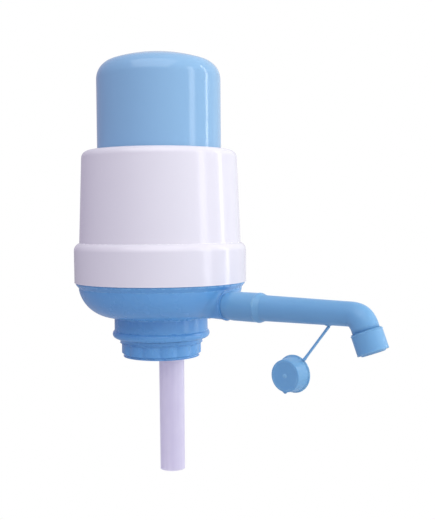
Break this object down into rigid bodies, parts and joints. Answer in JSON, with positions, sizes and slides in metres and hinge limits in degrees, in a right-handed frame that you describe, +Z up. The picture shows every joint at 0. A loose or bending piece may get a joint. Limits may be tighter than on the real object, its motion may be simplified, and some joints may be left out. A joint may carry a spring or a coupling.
{
  "type": "water jug hand pump",
  "caption": "Press-to-pour hand pump for a water jug: domed press cap in a round housing, bowl base with fluted neck adaptor, turning spout with strapped dust cap, and dip tube.",
  "frame": {"origin": "centre of the neck adaptor's mouth, where the jug's neck goes in, on the pump's axis", "axes": "+Z up along the pump's axis towards the press cap, +X along the spout"},
  "size_m": [0.2264, 0.116, 0.2789],
  "materials": {
    "cap_blue": "polished sky-blue polypropylene, glossy",
    "base_blue": "mid-blue moulded polypropylene, soft gloss",
    "shell_white": "glossy white ABS",
    "valve_white": "plain moulded polypropylene",
    "tube_clear": "milky translucent polyethylene, smooth",
    "bellows_pe": "blow-moulded soft polyethylene",
    "seal_rubber": "food-grade silicone rubber",
    "screw_steel": "zinc-free stainless steel"
  },
  "bodies": {
    "pump_body": {"base_bowl": "base_blue", "housing_shell": "shell_white", "valve_block": "valve_white", "clamp_ring": "valve_white", "clamp_screws": "screw_steel", "bellows": "bellows_pe", "intake_cage": "valve_white", "outlet_valve": "seal_rubber", "channel_gasket": "seal_rubber", "dip_tube": "tube_clear", "tube_seal": "seal_rubber"},
    "press": {"press_cap": "cap_blue", "bellows_plug": "valve_white"},
    "intake_valve": {"intake_flap": "seal_rubber"},
    "spout": {"spout_hub": "base_blue", "spout_tube": "base_blue", "nozzle_sleeve": "base_blue", "spout_o_rings": "seal_rubber"},
    "strap": {"cap_strap": "base_blue"},
    "dust_cap_body": {"dust_cap": "base_blue"},
    "neck_seal_body": {"neck_seal": "seal_rubber"},
    "adaptor": {"neck_adaptor": "base_blue"}
  },
  "joints": [
    {"name": "press_slide", "type": "slide", "parent": "pump_body", "child": "press", "axis": [0, 0, 1], "range_m": [-0.045, 0], "stiffness_N_per_m": 600, "springref_m": 0.012, "deforming": ["bellows"]},
    {"name": "intake_lift", "type": "slide", "parent": "pump_body", "child": "intake_valve", "axis": [0, 0, 1], "range_m": [0, 0.0015]},
    {"name": "spout_turn", "type": "hinge", "parent": "pump_body", "child": "spout", "pos_m": [0.057, 0, 0.0368], "axis": [1, 0, 0], "continuous": true},
    {"name": "strap_swing", "type": "hinge", "parent": "spout", "child": "strap", "pos_m": [0.1306, 0, 0.0284], "axis": [0, 1, 0], "range_deg": [-60, 20], "stiffness_Nm_per_rad": 0.02},
    {"name": "cap_twist", "type": "hinge", "parent": "strap", "child": "dust_cap_body", "pos_m": [0.1306, 0, 0.0284], "axis": [-0.628, 0, -0.7782], "range_deg": [-90, 90], "stiffness_Nm_per_rad": 0.006},
    {"name": "neck_seal_drop", "type": "slide", "parent": "pump_body", "child": "neck_seal_body", "axis": [0, 0, -1], "range_m": [0, 0.0121]},
    {"name": "adaptor_turn", "type": "hinge", "parent": "neck_seal_body", "child": "adaptor", "pos_m": [0, 0, 0], "axis": [0, 0, -1], "range_deg": [0, 1080]}
  ],
  "couplings": [
    {"joint": "neck_seal_drop", "follows": "adaptor_turn", "m_per_rad": 0.00063662}
  ]
}
